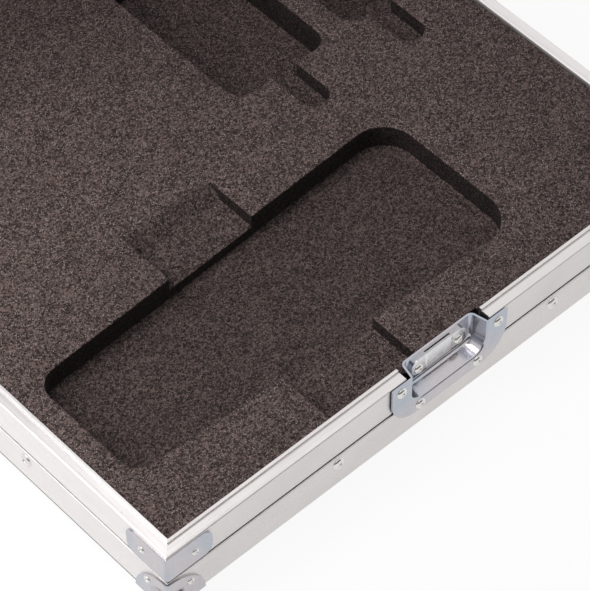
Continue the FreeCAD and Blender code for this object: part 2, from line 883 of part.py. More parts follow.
def hinge_rivets(sign):
    heads = []
    for side in (-1, 1):
        place = Vec(side * hinge_rivet_spacing / 2, hinge_wall - hinge_knuckle_radius, sign * hinge_rivet_drop)
        heads.append(rivet(place, Vec(0, 1, 0)))
    return at_hinges(Part.makeCompound(heads))


def handle_frame(shape):
    # the handle is drawn with its plate's back at y = 0 facing +Y, then turned to the lid's right side
    placed = shape.copy()
    placed.rotate(Vec(0, 0, 0), Vec(0, 0, 1), 90)
    panel_bottom = closing_height + rim_face
    panel_top = closing_height + lid_height - angle_leg
    placed.translate(Vec(half_length + panel_outer, 0, (panel_bottom + panel_top) / 2))
    return placed


def handle_axis_out():
    return handle_plate_wall + handle_ear_radius - panel_fit


def handle_parts():
    half = handle_plate_length / 2
    rise = handle_rise
    out = -handle_axis_out()
    base = upright_plate(rounded_rectangle((-half, half), (-rise, rise), handle_plate_round), (-handle_plate_wall, 0))
    ear_half = handle_ear_width / 2
    bore_radius = handle_wire_radius + handle_wire_fit
    for sign in (-1, 1):
        middle = sign * handle_ear_spacing / 2
        ear = cylinder(Vec(middle - ear_half, out, handle_axis_rise), Vec(1, 0, 0), handle_ear_radius, handle_ear_width)
        foot = box(
            (middle - ear_half, middle + ear_half),
            (out, -handle_plate_wall / 2),
            (handle_axis_rise - handle_ear_radius, handle_axis_rise + handle_ear_radius),
        )
        base = base.fuse(ear).fuse(foot)
        bore = cylinder(
            Vec(middle - handle_ear_width, out, handle_axis_rise), Vec(1, 0, 0), bore_radius, 2 * handle_ear_width
        )
        base = base.cut(bore)
    # the wire bail hangs down along the plate, its ends turned outward into the ears
    arm = handle_ear_spacing / 2 - ear_half - handle_wire_radius - handle_arm_gap
    low = handle_low
    end = handle_ear_spacing / 2 + ear_half - handle_wire_end
    path = bail_path(arm, end, low, out)
    bail = wire_rod(path, Vec(-end, out, handle_axis_rise), Vec(1, 0, 0), handle_wire_radius)
    grip_half = arm - handle_wire_bend - handle_grip_end_gap
    grip = cylinder(Vec(-grip_half, out, low), Vec(1, 0, 0), handle_grip_radius, 2 * grip_half)
    grip = grip.makeFillet(handle_grip_radius / 3, [e for e in grip.Edges if e.Curve.TypeId == "Part::GeomCircle"])
    grip = grip.cut(cylinder(Vec(-grip_half, out, low), Vec(1, 0, 0), handle_wire_radius, 2 * grip_half))
    heads = []
    for sign in (-1, 1):
        for height in (-1, 1):
            place = Vec(sign * handle_rivet_out, -handle_plate_wall, height * (rise - handle_plate_round))
            heads.append(rivet(place, Vec(0, -1, 0), small_rivet_head_radius))
    return base.removeSplitter(), bail, grip, Part.makeCompound(heads)


def bail_path(arm, end, low, out):
    # half of the bail on each side of the middle: out of the ear, round a bend, down and along
    bend = handle_wire_bend / 2
    big = handle_wire_bend
    corner = bend * (1 - math.sqrt(0.5))
    big_corner = big * (1 - math.sqrt(0.5))
    high = handle_axis_rise
    rows = [
        ("line", [(-end, high), (-arm - bend, high)]),
        ("arc", [(-arm - bend, high), (-arm - corner, high - corner), (-arm, high - bend)]),
        ("line", [(-arm, high - bend), (-arm, low + big)]),
        ("arc", [(-arm, low + big), (-arm + big_corner, low + big_corner), (-arm + big, low)]),
        ("line", [(-arm + big, low), (arm - big, low)]),
        ("arc", [(arm - big, low), (arm - big_corner, low + big_corner), (arm, low + big)]),
        ("line", [(arm, low + big), (arm, high - bend)]),
        ("arc", [(arm, high - bend), (arm + corner, high - corner), (arm + bend, high)]),
        ("line", [(arm + bend, high), (end, high)]),
    ]
    edges = []
    for kind, points in rows:
        spots = [Vec(x, out, z) for x, z in points]
        if kind == "line":
            edges.append(Part.LineSegment(spots[0], spots[1]).toShape())
        else:
            edges.append(Part.Arc(spots[0], spots[1], spots[2]).toShape())
    return Part.Wire(edges)


def wire_rod(path, start, direction, radius):
    ring = Part.Wire([Part.makeCircle(radius, start, direction)])
    return path.makePipeShell([ring], True, False)


def turned_solid(profile, place):
    # a closed profile of (radius, height) points, turned about the upright axis through a place
    face = Part.Face(rounded_wire(profile))
    face.rotate(Vec(0, 0, 0), Vec(1, 0, 0), 90)
    solid = face.revolve(Vec(0, 0, 0), Vec(0, 0, 1), 360)
    solid.translate(place)
    return solid


def rubber_feet():
    seat = foot_recess_depth - foot_height
    foot_profile = [
        (foot_hole_radius, 0),
        (foot_hole_radius, seat),
        (foot_recess_radius, seat),
        (foot_recess_radius, -foot_height),
        (foot_tip_radius - foot_edge, -foot_height),
        (foot_tip_radius, foot_edge - foot_height),
        (foot_radius, 0),
    ]
    screw_profile = [
        (0, 0),
        (0, seat - foot_screw_head_height),
        (foot_screw_head_radius / 2, seat - foot_screw_head_height),
        (foot_screw_head_radius, seat),
        (foot_screw_radius, seat),
        (foot_screw_radius, 0),
    ]
    feet = []
    screws = []
    for x, y in foot_spots():
        feet.append(turned_solid(foot_profile, Vec(x, y, 0)))
        screws.append(turned_solid(screw_profile, Vec(x, y, 0)))
    return Part.makeCompound(feet), Part.makeCompound(screws)


def foot_spots():
    x = half_length + angle_outer - angle_leg - foot_margin - foot_radius
    y = half_width + angle_outer - angle_leg - foot_margin - foot_radius
    return [(x, y), (-x, y), (x, -y), (-x, -y)]


def lid_pad():
    lid_top = closing_height + lid_rim_top - panel_wall
    side_gap = panel_inner + foam_fit
    return box(
        (-half_length - panel_inner + side_gap, half_length + panel_inner - side_gap),
        (-half_width - panel_inner + side_gap, half_width + panel_inner - side_gap),
        (lid_top - lid_foam_thickness, lid_top),
    )


def into_lid(shape):
    # a half drawn rim upward becomes the lid, closed on the base
    turned = shape.mirror(Vec(0, 0, 0), Vec(0, 0, 1))
    turned.translate(Vec(0, 0, closing_height + lid_rim_top))
    return turned


def opened(shape):
    turned = shape.copy()
    turned.rotate(Vec(0, hinge_axis_y, hinge_axis_z), Vec(1, 0, 0), -lid_open_angle)
    return turned


def at_latch(shape, up):
    placed = shape.copy() if up else shape.mirror(Vec(0, 0, 0), Vec(0, 0, 1))
    placed.translate(Vec(0, latch_front, rim_top if up else closing_height))
    return placed


def build():
    nodes = half_case("base", base_height, base_rim_section, keeper_dish_mouth_drop)
    nodes["base_foam"] = tray_foam()
    nodes["base_feet"], nodes["base_feet_screws"] = rubber_feet()
    nodes["latch_keeper_dish"] = at_latch(
        latch_dish(keeper_dish_height, keeper_dish_mouth_drop, keeper_dish_back_drop), True
    )
    nodes["latch_keeper"] = at_latch(keeper_plate(), True)
    nodes["latch_keeper_rivets"] = at_latch(keeper_rivets(), True)
    base_leaf, lid_leaf, pin = hinge_parts()
    nodes["hinge_base_leaves"] = at_hinges(base_leaf)
    nodes["hinge_pins"] = at_hinges(pin)
    nodes["hinge_base_rivets"] = hinge_rivets(-1)

    lid = half_case("lid", lid_height, lid_rim_section, lid_dish_mouth_drop)
    for name in list(lid):
        lid[name] = into_lid(lid[name])
    low = closing_height + rim_face + seam_gap
    high = closing_height + lid_height - angle_leg - seam_gap
    lid["lid_corner_angles"] = at_corners(
        corner_angle(low, high), half_length + angle_outer, half_width + angle_outer
    )
    lid["lid_foam"] = lid_pad()
    dish = latch_dish(lid_dish_height, lid_dish_mouth_drop, lid_dish_back_drop)
    hole = cylinder(
        Vec(0, dish_depth - overrun, -spindle_rise),
        Vec(0, 1, 0),
        spindle_journal_radius + journal_fit,
        3 * overrun,
    )
    lid["latch_dish"] = at_latch(dish.cut(hole), False)
    lid["latch_dish_rivets"] = at_latch(lid_dish_rivets(), False)
    lid["hinge_lid_leaves"] = at_hinges(lid_leaf)
    lid["hinge_lid_rivets"] = hinge_rivets(1)
    base, bail, grip, heads = handle_parts()
    lid["handle_plate"] = handle_frame(base)
    lid["handle_rivets"] = handle_frame(heads)
    lid["handle_bail"] = handle_frame(bail)
    lid["handle_grip"] = handle_frame(grip)
    for name, shape in (
        ("latch_spindle", latch_spindle()),
        ("latch_washer", spindle_washer()),
        ("latch_wing_pins", wing_pins()),
        ("latch_wing_left", latch_wing(-1)),
        ("latch_wing_right", latch_wing(1)),
        ("latch_hook", latch_hook()),
    ):
        shape.translate(Vec(0, latch_front, closing_height))
        lid[name] = shape
    for name in lid:
        nodes[name] = opened(lid[name])
    return nodes


def origin_move(nodes):
    # from the drawing's origin to the bottom centre of the whole case's box
    bounds = Part.makeCompound(list(nodes.values())).optimalBoundingBox(False)
    return Vec(-bounds.Center.x, -bounds.Center.y, -bounds.ZMin)


def print_joint_places(move):
    # joint places and directions at rest, in millimetres
    def turned(point):
        return opened(Part.Vertex(point)).Point + move

    spindle = Vec(0, latch_front, closing_height + spindle_rise)
    print("moved by", move)
    print("lid hinge", Vec(0, hinge_axis_y, hinge_axis_z) + move)
    print("spindle", turned(spindle), turned(spindle + Vec(0, 1, 0)) - turned(spindle))
    pin = Vec(wing_pin_offset, latch_front + wing_pin_depth(), closing_height + spindle_rise)
    print("right wing pin", turned(pin), turned(pin + Vec(0, 0, 1)) - turned(pin))
    print("hook stroke", turned(Vec(0, hook_stroke_out, hook_stroke_down)) - turned(Vec(0, 0, 0)))
    axis = handle_frame(Part.Vertex(Vec(0, -handle_axis_out(), handle_axis_rise))).Point
    print("handle axis", turned(axis), turned(axis + Vec(0, 1, 0)) - turned(axis))


os.makedirs("parts", exist_ok=True)
finished = build()
whole_move = origin_move(finished)
for node_name, node_shape in finished.items():
    node_shape.translate(whole_move)
    node_shape.exportStep("parts/" + node_name + ".step")
    print(node_name, len(node_shape.Solids), node_shape.isValid(), round(node_shape.Volume))
print(len(finished), "nodes")
print_joint_places(whole_move)
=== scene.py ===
import math

import bmesh
import bpy
from mathutils import Matrix, Vector, noise


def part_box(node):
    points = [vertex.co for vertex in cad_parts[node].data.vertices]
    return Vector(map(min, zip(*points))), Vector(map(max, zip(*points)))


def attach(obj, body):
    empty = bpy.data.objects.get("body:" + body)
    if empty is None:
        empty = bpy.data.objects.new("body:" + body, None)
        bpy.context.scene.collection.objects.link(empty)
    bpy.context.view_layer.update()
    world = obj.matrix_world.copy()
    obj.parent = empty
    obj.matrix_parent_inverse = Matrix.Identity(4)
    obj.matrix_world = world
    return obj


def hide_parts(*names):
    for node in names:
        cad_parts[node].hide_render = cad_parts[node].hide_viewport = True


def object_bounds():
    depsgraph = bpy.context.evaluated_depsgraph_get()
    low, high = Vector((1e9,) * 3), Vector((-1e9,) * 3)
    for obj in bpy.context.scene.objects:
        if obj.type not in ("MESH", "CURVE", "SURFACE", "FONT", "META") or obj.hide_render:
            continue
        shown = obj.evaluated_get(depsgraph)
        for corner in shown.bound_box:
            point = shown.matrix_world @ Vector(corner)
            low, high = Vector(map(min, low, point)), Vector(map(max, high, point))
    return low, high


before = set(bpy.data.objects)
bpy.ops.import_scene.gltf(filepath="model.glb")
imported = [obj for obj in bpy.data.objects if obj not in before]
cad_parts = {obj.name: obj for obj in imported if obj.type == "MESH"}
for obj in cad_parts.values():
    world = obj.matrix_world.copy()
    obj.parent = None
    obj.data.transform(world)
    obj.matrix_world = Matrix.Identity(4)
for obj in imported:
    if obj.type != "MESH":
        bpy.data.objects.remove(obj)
cadLow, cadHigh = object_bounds()
print("frame loaded:", len(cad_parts), "nodes")

mm = 0.001
weldDistance = 0.002 * mm
panelLow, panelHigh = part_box("base_bottom_panel")
caseMiddle = Vector(((panelLow.x + panelHigh.x) / 2, (panelLow.y + panelHigh.y) / 2, panelLow.z))


# mesh helpers

def linkMesh(name, bm, material, body, smoothAngle):
    mesh = bpy.data.meshes.new(name)
    bm.to_mesh(mesh)
    bm.free()
    piece = bpy.data.objects.new(name, mesh)
    bpy.context.scene.collection.objects.link(piece)
    mesh.materials.append(material)
    mesh.shade_smooth()
    mesh.set_sharp_from_angle(angle=math.radians(smoothAngle))
    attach(piece, body)
    return piece


def islandsOf(nodeName):
    # the separate solids of a CAD node, as lists of points
    bm = bmesh.new()
    bm.from_mesh(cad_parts[nodeName].data)
    bmesh.ops.remove_doubles(bm, verts=bm.verts, dist=weldDistance)
    bm.verts.ensure_lookup_table()
    seen = set()
    groups = []
    for start in bm.verts:
        if start.index in seen:
            continue
        seen.add(start.index)
        stack = [start]
        points = []
        while stack:
            vert = stack.pop()
            points.append(vert.co.copy())
            for edge in vert.link_edges:
                other = edge.other_vert(vert)
                if other.index not in seen:
                    seen.add(other.index)
                    stack.append(other)
        groups.append(points)
    bm.free()
    return groups


def boxOf(points):
    low = Vector([min(p[i] for p in points) for i in range(3)])
    high = Vector([max(p[i] for p in points) for i in range(3)])
    return low, high


def lathe(bm, profile, place, direction, segments):
    # profile rows are (radius, height along the direction); a last radius of 0 closes with a point
    turn = Vector((0, 0, 1)).rotation_difference(Vector(direction)).to_matrix().to_4x4()
    seat = Matrix.Translation(Vector(place)) @ turn
    rings = []
    for radius, height in profile:
        if radius == 0.0:
            rings.append([bm.verts.new(seat @ Vector((0, 0, height)))])
            continue
        ring = []
        for i in range(segments):
            angle = 2 * math.pi * i / segments
            spot = Vector((radius * math.cos(angle), radius * math.sin(angle), height))
            ring.append(bm.verts.new(seat @ spot))
        rings.append(ring)
    for lower, upper in zip(rings, rings[1:]):
        for i in range(segments):
            j = (i + 1) % segments
            if len(upper) == 1:
                bm.faces.new((lower[i], lower[j], upper[0]))
            else:
                bm.faces.new((lower[i], lower[j], upper[j], upper[i]))


# node helpers

nodeSpacing = {"across": 220, "down": 240}  # in the node editor


def newGroup(name, inputs, outputs):
    group = bpy.data.node_groups.new(name, "ShaderNodeTree")
    for socketName, kind, value in inputs:
        socket = group.interface.new_socket(name=socketName, in_out="INPUT", socket_type=kind)
        socket.default_value = value
    for socketName, kind in outputs:
        group.interface.new_socket(name=socketName, in_out="OUTPUT", socket_type=kind)
    start = group.nodes.new("NodeGroupInput")
    end = group.nodes.new("NodeGroupOutput")
    return group, start, end


def newMaterial(name):
    material = bpy.data.materials.new(name)
    material.use_nodes = True
    tree = material.node_tree
    return material, tree, tree.nodes["Principled BSDF"]


def addNode(tree, kind, **settings):
    node = tree.nodes.new(kind)
    for key, value in settings.items():
        setattr(node, key, value)
    return node


def feed(tree, socket, value):
    # the value is another node's socket, a colour without its alpha, a vector or a number
    if isinstance(value, bpy.types.NodeSocket):
        tree.links.new(value, socket)
    elif socket.type == "RGBA":
        socket.default_value = (*value, 1)
    else:
        socket.default_value = value


def placeGroup(tree, group, values):
    node = addNode(tree, "ShaderNodeGroup")
    node.node_tree = group
    for socketName, value in values.items():
        feed(tree, node.inputs[socketName], value)
    return node


def addMath(tree, operation, first, second=None, clamp=False):
    node = addNode(tree, "ShaderNodeMath", operation=operation, use_clamp=clamp)
    feed(tree, node.inputs[0], first)
    if second is not None:
        feed(tree, node.inputs[1], second)
    return node.outputs[0]


def addShare(tree, value, share, rest):
    # the value times a share, and the rest added
    return addMath(tree, "ADD", addMath(tree, "MULTIPLY", value, share), rest)


def addRange(tree, value, fromSpan, toSpan=(0.0, 1.0)):
    # rescales a value from one span to another and holds it inside
    node = addNode(tree, "ShaderNodeMapRange")
    feed(tree, node.inputs["Value"], value)
    node.inputs["From Min"].default_value = fromSpan[0]
    node.inputs["From Max"].default_value = fromSpan[1]
    node.inputs["To Min"].default_value = toSpan[0]
    node.inputs["To Max"].default_value = toSpan[1]
    return node.outputs["Result"]


def addColourMix(tree, factor, first, second, blend="MIX"):
    # of this node's sockets, 0 is the factor, 6 and 7 are the colours, and 2 is the result
    node = addNode(tree, "ShaderNodeMix", data_type="RGBA", blend_type=blend)
    for i, value in ((0, factor), (6, first), (7, second)):
        feed(tree, node.inputs[i], value)
    return node.outputs[2]


def addNoise(tree, place, fineness, look):
    # the look is (detail, roughness)
    node = addNode(tree, "ShaderNodeTexNoise")
    feed(tree, node.inputs["Vector"], place)
    feed(tree, node.inputs["Scale"], fineness)
    node.inputs["Detail"].default_value = look[0]
    node.inputs["Roughness"].default_value = look[1]
    return node.outputs[0]


def addVoronoi(tree, place, fineness, feature="F1"):
    node = addNode(tree, "ShaderNodeTexVoronoi", feature=feature)
    feed(tree, node.inputs["Vector"], place)
    feed(tree, node.inputs["Scale"], fineness)
    return node


def splitVector(tree, vector):
    node = addNode(tree, "ShaderNodeSeparateXYZ")
    feed(tree, node.inputs[0], vector)
    return node.outputs


def splitColour(tree, colour):
    node = addNode(tree, "ShaderNodeSeparateColor")
    feed(tree, node.inputs[0], colour)
    return node.outputs


def addBump(tree, shader, height, strength, distance):
    bump = addNode(tree, "ShaderNodeBump")
    bump.inputs["Strength"].default_value = strength
    bump.inputs["Distance"].default_value = distance
    feed(tree, bump.inputs["Height"], height)
    feed(tree, shader.inputs["Normal"], bump.outputs["Normal"])


def arrange(tree):
    # lays the nodes out in columns, counted back from the last one
    columns = {node.name: 0 for node in tree.nodes}
    moved = True
    while moved:
        moved = False
        for link in tree.links:
            column = columns[link.to_node.name] + 1
            if columns[link.from_node.name] < column:
                columns[link.from_node.name] = column
                moved = True
    rows = {}
    for node in tree.nodes:
        column = columns[node.name]
        rows[column] = rows.get(column, -1) + 1
        node.location = (-nodeSpacing["across"] * column, -nodeSpacing["down"] * rows[column])


# foam cells, as a shader group

foamCellValues = {
    "smallFineness": 1.9,  # times the large cells'
    "wallSpan": (0.12, 0.62),  # distance from a cell's middle, as a share of its size
    "smallWallSpan": (0.10, 0.60),
    "toneShare": 0.58,
    "smallToneShare": 0.42,
    # share of the painted shade in the cell pits
    "pitShadeShare": 0.25,
    "mottleFineness": 55.0,
    "mottleLook": (3, 0.55),
    "mottleSpan": (0.3, 0.7),
    "mottleTones": (-0.04, 0.04),
    "contrastSpan": (0.18, 1.10),
    "contrastPower": 1.9,
    "glintReach": 0.42,
    # brightness of the painted glint
    "paintedGlintTones": (0.25, 1.0),
    "roughnesses": (0.97, 0.45),  # of bare foam and of a full glint
    # the painted shade on walls and deep floors, by how upright a face is and how deep it lies
    "flatSpan": (0.15, 0.70),  # upward part of the normal, from a wall to a flat face
    "depthSpan": (0.5 * mm, 18 * mm),
    "reliefShare": 0.65,
    "smallReliefShare": 0.35,
}


def paintFoamShade(group, coords, start):
    # paints shade on walls and deep floors, where little light falls
    values = foamCellValues
    upward = addMath(group, "ABSOLUTE", splitVector(group, coords.outputs["Normal"])["Z"])
    flat = addRange(group, upward, values["flatSpan"])
    wallShadeLevel = start.outputs["Wall Shade Level"]
    level = addShare(group, flat, addMath(group, "SUBTRACT", 1.0, wallShadeLevel), wallShadeLevel)
    height = splitVector(group, coords.outputs["Object"])["Z"]
    depth = addMath(group, "SUBTRACT", start.outputs["Top Height"], height)
    deep = addRange(group, depth, values["depthSpan"])
    fullLoss = addMath(group, "SUBTRACT", 1.0, start.outputs["Deep Shade Level"])
    kept = addMath(group, "SUBTRACT", 1.0, addMath(group, "MULTIPLY", deep, fullLoss))
    return addMath(group, "MULTIPLY", level, kept)


def makeFoamCells():
    # open foam cells, each with its own tone and painted shade in its pit; now and then a skin gets a
    # painted glint; walls and deep floors get painted shade
    values = foamCellValues
    group, start, end = newGroup(
        "foamCells",
        [
            ("Cell Size", "NodeSocketFloat", 1.0 * mm),
            ("Dark And Pit Shade Colour", "NodeSocketColor", (0.02, 0.014, 0.013, 1)),
            ("Skin Colour", "NodeSocketColor", (0.12, 0.09, 0.085, 1)),
            ("Painted Glint Colour", "NodeSocketColor", (0.34, 0.30, 0.28, 1)),
            ("Glint Share", "NodeSocketFloat", 0.05),
            ("Wall Shade Level", "NodeSocketFloat", 1.0),
            ("Top Height", "NodeSocketFloat", 0.0),
            ("Deep Shade Level", "NodeSocketFloat", 1.0),
        ],
        [("Color", "NodeSocketColor"), ("Height", "NodeSocketFloat"), ("Roughness", "NodeSocketFloat")],
    )
    coords = addNode(group, "ShaderNodeTexCoord")
    place = coords.outputs["Object"]
    fineness = addMath(group, "DIVIDE", 1.0, start.outputs["Cell Size"])
    cells = addVoronoi(group, place, fineness)
    small = addVoronoi(group, place, addMath(group, "MULTIPLY", fineness, values["smallFineness"]))
    tones = splitColour(group, cells.outputs["Color"])
    smallTones = splitColour(group, small.outputs["Color"])
    wall = addRange(group, cells.outputs["Distance"], values["wallSpan"])
    smallWall = addRange(group, small.outputs["Distance"], values["smallWallSpan"])

    smallTone = addMath(group, "MULTIPLY", smallTones[0], values["smallToneShare"])
    tone = addShare(group, tones[0], values["toneShare"], smallTone)
    # cells lighter toward their walls and darker in their pits: painted shade
    walled = addShare(group, wall, values["pitShadeShare"], tone)
    mottle = addNoise(group, place, values["mottleFineness"], values["mottleLook"])
    mottleTone = addRange(group, mottle, values["mottleSpan"], values["mottleTones"])
    stretched = addRange(group, addMath(group, "ADD", walled, mottleTone), values["contrastSpan"])
    lively = addMath(group, "POWER", stretched, values["contrastPower"])
    body = addColourMix(group, lively, start.outputs["Dark And Pit Shade Colour"], start.outputs["Skin Colour"])

    # painted glint: a few cell skins get a lighter colour, and a glossier surface
    limit = addMath(group, "SUBTRACT", 1.0, start.outputs["Glint Share"])
    chosen = addMath(group, "GREATER_THAN", smallTones[1], limit)
    core = addMath(group, "LESS_THAN", small.outputs["Distance"], values["glintReach"])
    glintTone = addRange(group, smallTones[2], (0.0, 1.0), values["paintedGlintTones"])
    glint = addMath(group, "MULTIPLY", addMath(group, "MULTIPLY", chosen, core), glintTone)
    coloured = addColourMix(group, glint, body, start.outputs["Painted Glint Colour"])
    # painted shade on walls and deep floors
    shaded = addColourMix(group, 1.0, coloured, paintFoamShade(group, coords, start), "MULTIPLY")
    feed(group, end.inputs["Color"], shaded)

    smallRelief = addMath(group, "MULTIPLY", smallWall, values["smallReliefShare"])
    feed(group, end.inputs["Height"], addShare(group, wall, values["reliefShare"], smallRelief))
    feed(group, end.inputs["Roughness"], addRange(group, glint, (0.0, 1.0), values["roughnesses"]))
    arrange(group)
    return group


# grain of drawn or brushed metal, as a shader group

grainValues = {
    "lineLook": (3, 0.6),
    "lineShare": 0.6,
    "bandFineness": 0.22,  # times the lines'
    "bandLook": (2, 0.5),
    "bandShare": 0.4,
    "cloudFineness": 28.0,
    "cloudLook": (3, 0.6),
    "noiseMiddle": 0.5,
    "toneShare": 0.34,
    "roughnessShare": 0.5,
    "cloudRoughnessShare": 0.16,
}


def makeDrawnGrain():
    # fine lines left by drawing or brushing, long along one direction
    values = grainValues
    group, start, end = newGroup(
        "drawnGrain",
        [("Stretch", "NodeSocketVector", (1, 1, 1)), ("Fineness", "NodeSocketFloat", 2600.0)],
        [("Tone", "NodeSocketFloat"), ("Roughness", "NodeSocketFloat"), ("Height", "NodeSocketFloat")],
    )
    place = addNode(group, "ShaderNodeTexCoord").outputs["Object"]
    stretched = addNode(group, "ShaderNodeVectorMath", operation="MULTIPLY")
    feed(group, stretched.inputs[0], place)
    feed(group, stretched.inputs[1], start.outputs["Stretch"])
    along = stretched.outputs[0]
    lines = addNoise(group, along, start.outputs["Fineness"], values["lineLook"])
    coarse = addMath(group, "MULTIPLY", start.outputs["Fineness"], values["bandFineness"])
    bands = addNoise(group, along, coarse, values["bandLook"])
    cloud = addNoise(group, place, values["cloudFineness"], values["cloudLook"])
    bandPart = addMath(group, "MULTIPLY", bands, values["bandShare"])
    mixed = addShare(group, lines, values["lineShare"], bandPart)
    grain = addMath(group, "SUBTRACT", mixed, values["noiseMiddle"])
    centredCloud = addMath(group, "SUBTRACT", cloud, values["noiseMiddle"])
    haze = addMath(group, "MULTIPLY", centredCloud, values["cloudRoughnessShare"])
    feed(group, end.inputs["Tone"], addShare(group, grain, values["toneShare"], 1.0))
    feed(group, end.inputs["Roughness"], addShare(group, grain, values["roughnessShare"], haze))
    feed(group, end.inputs["Height"], grain)
    arrange(group)
    return group


# scratches and smears, as a shader group

handlingValues = {
    "scratchTurn": (0.5, 0.35, 0.8),
    "scratchStretch": (0.12, 1.0, 1.0),
    "scratchWidth": 0.012,  # as a share of the space between scratches
    "patchFineness": 35.0,
    "patchLook": (2, 0.5),
    "patchSpan": (0.52, 0.64),
    "smearLook": (4, 0.65),
    "smearSpan": (0.42, 0.72),
}


def makeHandling():
    # fine scratches and faint smears that any used case picks up
    values = handlingValues
    group, start, end = newGroup(
        "handling",
        [("Scratch Fineness", "NodeSocketFloat", 90.0), ("Smear Fineness", "NodeSocketFloat", 14.0)],
        [("Scratch", "NodeSocketFloat"), ("Smear", "NodeSocketFloat")],
    )
    place = addNode(group, "ShaderNodeTexCoord").outputs["Object"]
    turned = addNode(group, "ShaderNodeMapping")
    turned.inputs["Rotation"].default_value = values["scratchTurn"]
    turned.inputs["Scale"].default_value = values["scratchStretch"]
    feed(group, turned.inputs["Vector"], place)
    lines = addVoronoi(group, turned.outputs[0], start.outputs["Scratch Fineness"], "DISTANCE_TO_EDGE")
    thin = addRange(group, lines.outputs["Distance"], (0.0, values["scratchWidth"]), (1.0, 0.0))
    where = addNoise(group, place, values["patchFineness"], values["patchLook"])
    patches = addRange(group, where, values["patchSpan"])
    smear = addNoise(group, place, start.outputs["Smear Fineness"], values["smearLook"])
    feed(group, end.inputs["Scratch"], addMath(group, "MULTIPLY", thin, patches))
    feed(group, end.inputs["Smear"], addRange(group, smear, values["smearSpan"]))
    arrange(group)
    return group


# stipple of laminate, rubber and plastic, as a shader group

stippleValues = {
    "smoothness": 0.35,
    "dotSpan": (0.1, 0.6),  # distance from a dot's middle, as a share of its size
    "cloudFineness": 22.0,
    "cloudLook": (4, 0.6),
    "cloudSpan": (0.3, 0.7),
    "cloudTones": (0.85, 1.15),
}


def makeStipple():
    values = stippleValues
    group, start, end = newGroup(
        "stipple",
        [("Dot Size", "NodeSocketFloat", 1.2 * mm)],
        [("Dots", "NodeSocketFloat"), ("Tone", "NodeSocketFloat")],
    )
    place = addNode(group, "ShaderNodeTexCoord").outputs["Object"]
    fineness = addMath(group, "DIVIDE", 1.0, start.outputs["Dot Size"])
    dots = addVoronoi(group, place, fineness, "SMOOTH_F1")
    dots.inputs["Smoothness"].default_value = values["smoothness"]
    dotHeight = addRange(group, dots.outputs["Distance"], values["dotSpan"], (1.0, 0.0))
    clouds = addNoise(group, place, values["cloudFineness"], values["cloudLook"])
    feed(group, end.inputs["Dots"], dotHeight)
    feed(group, end.inputs["Tone"], addRange(group, clouds, values["cloudSpan"], values["cloudTones"]))
    arrange(group)
    return group


foamCells = makeFoamCells()
drawnGrain = makeDrawnGrain()
handling = makeHandling()
stipple = makeStipple()
print("shader groups made")


# foam, as a material

foamLook = {
    "cellSize": 1.2 * mm,
    # the dark end of the cells' tone, which also carries the painted shade in their pits
    "darkAndPitShadeColour": (0.014, 0.0100, 0.0092),
    "skinColour": (0.215, 0.156, 0.146),
    # painted glint colour of a glinting cell skin
    "paintedGlintColour": (0.46, 0.42, 0.40),
    "glintShare": 0.10,
    # painted shade: the share of colour kept on walls and on the deepest floors
    "wallShadeLevel": 0.22,
    "deepShadeLevel": 0.68,
    "specular": 0.25,
    "bumpStrength": 0.7,
    "bumpDepth": 0.45 * mm,
}


def makeFoamMaterial(name, wallShadeLevel, topHeight, deepShadeLevel):
    material, tree, shader = newMaterial(name)
    cells = placeGroup(
        tree,
        foamCells,
        {
            "Cell Size": foamLook["cellSize"],
            "Dark And Pit Shade Colour": foamLook["darkAndPitShadeColour"],
            "Skin Colour": foamLook["skinColour"],
            "Painted Glint Colour": foamLook["paintedGlintColour"],
            "Glint Share": foamLook["glintShare"],
            "Wall Shade Level": wallShadeLevel,
            "Top Height": topHeight,
            "Deep Shade Level": deepShadeLevel,
        },
    )
    feed(tree, shader.inputs["Base Color"], cells.outputs["Color"])
    feed(tree, shader.inputs["Roughness"], cells.outputs["Roughness"])
    shader.inputs["Specular IOR Level"].default_value = foamLook["specular"]
    addBump(tree, shader, cells.outputs["Height"], foamLook["bumpStrength"], foamLook["bumpDepth"])
    arrange(tree)
    return material


# metals

metalLooks = {
    "extrusion": {
        "colour": (0.85, 0.815, 0.81),
        "metallic": 0.70,
        "roughness": 0.34,
        "bump": 0.10,
        "fineness": 2600.0,
    },
    # the side angles: a little darker than the rims' extrusion, as painted shade, and with a painted
    # dark line along their lower edge
    "lowEdge": {
        "colour": (0.82, 0.78, 0.775),
        "metallic": 0.70,
        "roughness": 0.34,
        "bump": 0.10,
        "fineness": 2600.0,
        "paintedLowLineTone": 0.16,
        "lowLineHeight": 0.6 * mm,  # above the underside of the base panel
        "lowLineBlend": 0.4 * mm,
        "downSpan": (-0.90, -0.80),  # upward part of the normal, from facing down to not
    },
    # the front and back pieces: the same extrusion, more metallic, and with a darker colour that is
    # painted shade on those faces
    "crossExtrusionPaintedShade": {
        "colour": (0.73, 0.70, 0.69),
        "metallic": 0.95,
        "roughness": 0.34,
        "bump": 0.10,
        "fineness": 2600.0,
    },
    "zinc": {
        "colour": (0.445, 0.475, 0.535),
        "tint": (0.55, 0.52, 0.54),
        "tintFineness": 26.0,
        "tintLook": (2, 0.5),
        "tintSpan": (0.40, 0.60),
        "metallic": 1.0,
        "roughness": 0.14,
        "bump": 0.06,
        "fineness": 420.0,
    },
    # the keeper: the dish's zinc made much lighter, painted light on the keeper down in the dish's
    # recess
    "keeperPaintedLightZinc": {
        "colour": (0.80, 0.80, 0.81),
        "metallic": 1.0,
        "roughness": 0.20,
        "bump": 0.06,
        "fineness": 420.0,
    },
    "rivet": {
        "colour": (0.76, 0.74, 0.72),
        "metallic": 1.0,
        "roughness": 0.17,
        "bump": 0.04,
        "fineness": 900.0,
    },
}

